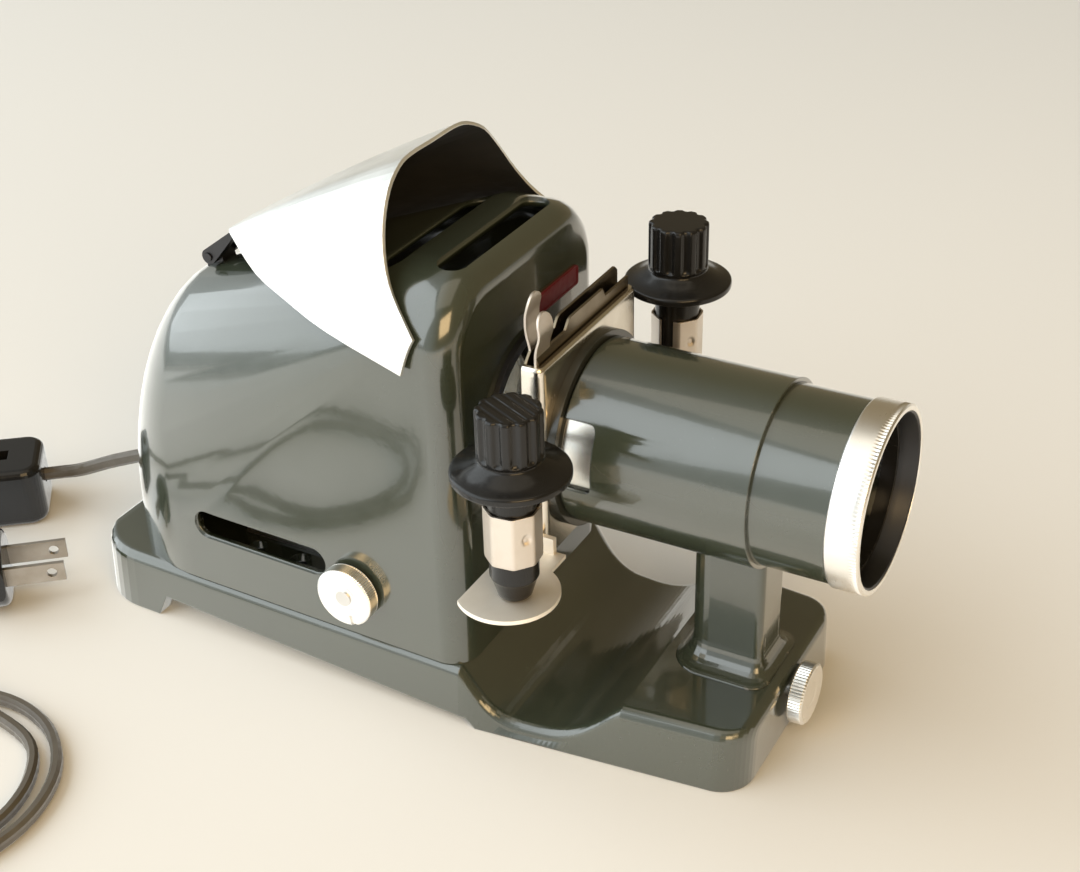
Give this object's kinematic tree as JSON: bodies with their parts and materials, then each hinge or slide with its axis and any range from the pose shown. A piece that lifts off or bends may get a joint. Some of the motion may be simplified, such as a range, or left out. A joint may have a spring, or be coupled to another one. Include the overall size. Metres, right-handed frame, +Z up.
{
  "type": "slide and filmstrip projector",
  "caption": "Small cast table projector: rounded lamp house with a hinged light shield, film gate with two winding knobs, and a focusing lens tube on a post.",
  "frame": {"origin": "On the table, straight below the film gate and the optical axis.", "axes": "+X along the light path towards the lens, +Y to the far side, +Z up."},
  "size_m": [0.3488, 0.2422, 0.1565],
  "materials": {
    "enamel": "glossy dark olive green stove enamel",
    "plain_steel": "plain steel",
    "screws": "zinc plated steel",
    "maroon": "dark red, blank, no lettering",
    "black_rubber": "black moulded rubber",
    "cord_brown": "brown two-core flex",
    "bakelite": "black bakelite",
    "bakelite_brown": "dark brown bakelite",
    "brass": "plain brass",
    "aluminium": "turned aluminium with a fine knurl",
    "satin_aluminium": "satin aluminium",
    "glass": "clear optical glass",
    "heat_glass": "pale green heat absorbing glass",
    "mirror": "silvered",
    "porcelain": "glazed ceramic",
    "black_metal": "satin black",
    "nickel": "nickel plated steel",
    "bronze_metal": "dark brown oxide on sheet steel",
    "bright_sheet": "bright sheet, black inside"
  },
  "bodies": {
    "base": {"base_casting": "enamel", "base_cover": "plain_steel", "cover_screws": "screws", "house_screws": "screws", "stand_screws": "screws", "lamp_house": "enamel", "label_plate": "maroon", "cord_grommet": "black_rubber", "power_cord": "cord_brown", "cord_switch": "bakelite", "plug_body": "black_rubber", "plug_blades": "brass", "condenser_tube": "satin_aluminium", "condenser_front_lens": "glass", "condenser_rear_lens": "glass", "heat_glass": "heat_glass", "condenser_ring": "satin_aluminium", "reflector": "mirror", "reflector_bracket": "plain_steel", "lamp_tray": "plain_steel", "lamp_socket": "porcelain", "lamp_base": "brass", "lamp_glass": "glass", "lens_stand": "enamel", "shield_hinge": "black_metal", "shield_pin": "plain_steel"},
    "barrel": {"lens_barrel": "enamel", "lens_ring": "aluminium", "lens_retainer": "black_metal", "front_lens": "glass", "middle_lens": "glass", "rear_lens": "glass"},
    "film_head": {"head_hub": "nickel", "gate_frame": "nickel", "near_guide": "nickel", "far_guide": "nickel", "front_pressure_plate": "bronze_metal", "front_glass": "glass", "gate_pin": "plain_steel"},
    "gate_door": {"rear_pressure_plate": "bronze_metal", "rear_glass": "glass"},
    "near_spool": {"near_knob": "bakelite", "near_core": "bakelite", "near_clip": "nickel", "near_shaft": "plain_steel"},
    "far_spool": {"far_knob": "bakelite", "far_core": "bakelite", "far_clip": "nickel", "far_shaft": "plain_steel"},
    "shield": {"light_shield": "bright_sheet", "shield_leaf": "black_metal"},
    "lamp_clamp": {"side_knob": "aluminium", "side_stud": "plain_steel"},
    "tilt_leg": {"tilt_leg": "plain_steel", "tilt_foot": "black_rubber"},
    "tilt_clamp": {"tilt_knob": "aluminium", "tilt_stud": "plain_steel"},
    "cord_button": {"switch_button": "bakelite_brown"}
  },
  "joints": [
    {"name": "focus", "type": "slide", "parent": "base", "child": "barrel", "axis": [1, 0, 0], "range_m": [-0.012, 0.014]},
    {"name": "head_turn", "type": "hinge", "parent": "base", "child": "film_head", "pos_m": [0, 0, 0.0806], "axis": [1, 0, 0], "range_deg": [0, 90]},
    {"name": "gate_open", "type": "hinge", "parent": "film_head", "child": "gate_door", "pos_m": [-0.0072, 0, 0.0502], "axis": [0, -1, 0], "range_deg": [0, 7]},
    {"name": "near_wind", "type": "hinge", "parent": "film_head", "child": "near_spool", "pos_m": [0.0026, -0.0496, 0.076], "axis": [0, 0, 1], "continuous": true},
    {"name": "far_wind", "type": "hinge", "parent": "film_head", "child": "far_spool", "pos_m": [0.0026, 0.0496, 0.0852], "axis": [0, 0, 1], "continuous": true},
    {"name": "shield_lift", "type": "hinge", "parent": "base", "child": "shield", "pos_m": [-0.1228, 0, 0.1094], "axis": [0, -1, 0], "range_deg": [0, 45]},
    {"name": "lamp_clamp_turn", "type": "hinge", "parent": "base", "child": "lamp_clamp", "pos_m": [-0.055, -0.045, 0.0349], "axis": [0, -1, 0], "range_deg": [0, 270]},
    {"name": "tilt_slide", "type": "slide", "parent": "base", "child": "tilt_leg", "axis": [0, 0, -1], "range_m": [0, 0.024]},
    {"name": "tilt_clamp_turn", "type": "hinge", "parent": "base", "child": "tilt_clamp", "pos_m": [0.065, 0, 0.0115], "axis": [1, 0, 0], "range_deg": [0, 270]},
    {"name": "switch_press", "type": "slide", "parent": "base", "child": "cord_button", "axis": [0, 0, -1], "range_m": [0, 0.0012]}
  ]
}
